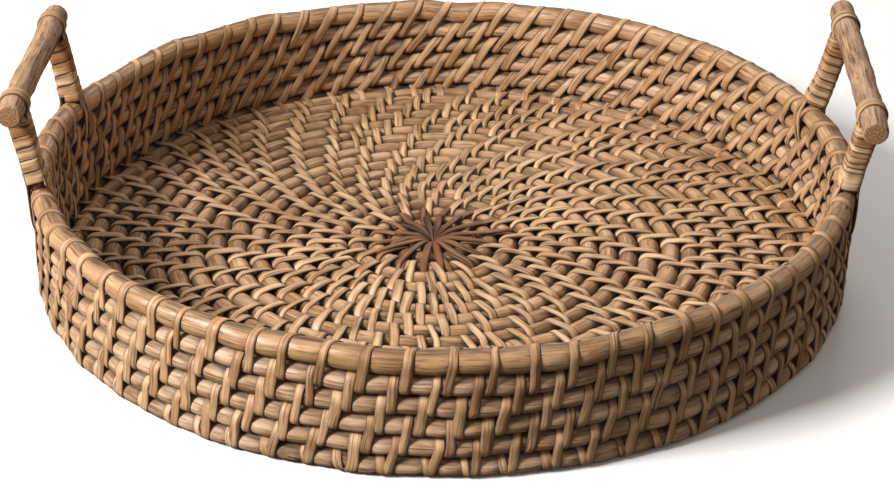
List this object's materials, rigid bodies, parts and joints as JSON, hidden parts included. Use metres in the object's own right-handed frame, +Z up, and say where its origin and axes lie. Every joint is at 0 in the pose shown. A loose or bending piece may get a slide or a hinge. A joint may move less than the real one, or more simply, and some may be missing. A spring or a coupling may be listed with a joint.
{
  "type": "serving tray",
  "caption": "Round coiled rattan serving tray with an upright lashed wall and a stick handle on bound posts at each side.",
  "frame": {"origin": "centre of the face that the tray rests on, under the middle of the wall", "axes": "+X to the right-hand handle, +Y to the back, +Z up"},
  "size_m": [0.4114, 0.4, 0.1107],
  "materials": {
    "rod": "peeled rattan rod, matt with fine lengthwise fibres",
    "rim_rod": "peeled rattan rod, slightly glossy from handling",
    "peel": "satin cane peel",
    "star_peel": "satin cane peel, darker",
    "bar_bark": "matt barked stick with nodes and specks",
    "core": "peeled stick",
    "split_cane": "satin split cane",
    "binding_peel": "satin cane peel in tight turns"
  },
  "bodies": {
    "root": {"floor_coil": "rod", "base_course": "rod", "wall_course_2": "rod", "wall_course_3": "rod", "wall_course_4": "rod", "wall_course_5": "rod", "rim_course": "rim_rod", "centre_star": "star_peel", "floor_lashing_01": "peel", "floor_lashing_02": "peel", "floor_lashing_03": "peel", "floor_lashing_04": "peel", "floor_lashing_05": "peel", "floor_lashing_06": "peel", "floor_lashing_07": "peel", "floor_lashing_08": "peel", "floor_lashing_09": "peel", "floor_lashing_10": "peel", "floor_lashing_11": "peel", "floor_lashing_12": "peel", "floor_lashing_13": "peel", "floor_lashing_14": "peel", "floor_lashing_15": "peel", "floor_lashing_16": "peel", "base_lashing": "peel", "wall_lashing_1": "peel", "wall_lashing_2": "peel", "wall_lashing_3": "peel", "wall_lashing_4": "peel", "rim_lashing": "peel", "handle_bar_left": "bar_bark", "handle_bar_right": "bar_bark", "post_core_left_front": "core", "post_core_left_back": "core", "post_core_right_front": "core", "post_core_right_back": "core", "strap_left_front": "split_cane", "strap_left_back": "split_cane", "strap_right_front": "split_cane", "strap_right_back": "split_cane", "binding_left_front": "binding_peel", "binding_left_back": "binding_peel", "binding_right_front": "binding_peel", "binding_right_back": "binding_peel"}
  },
  "joints": []
}
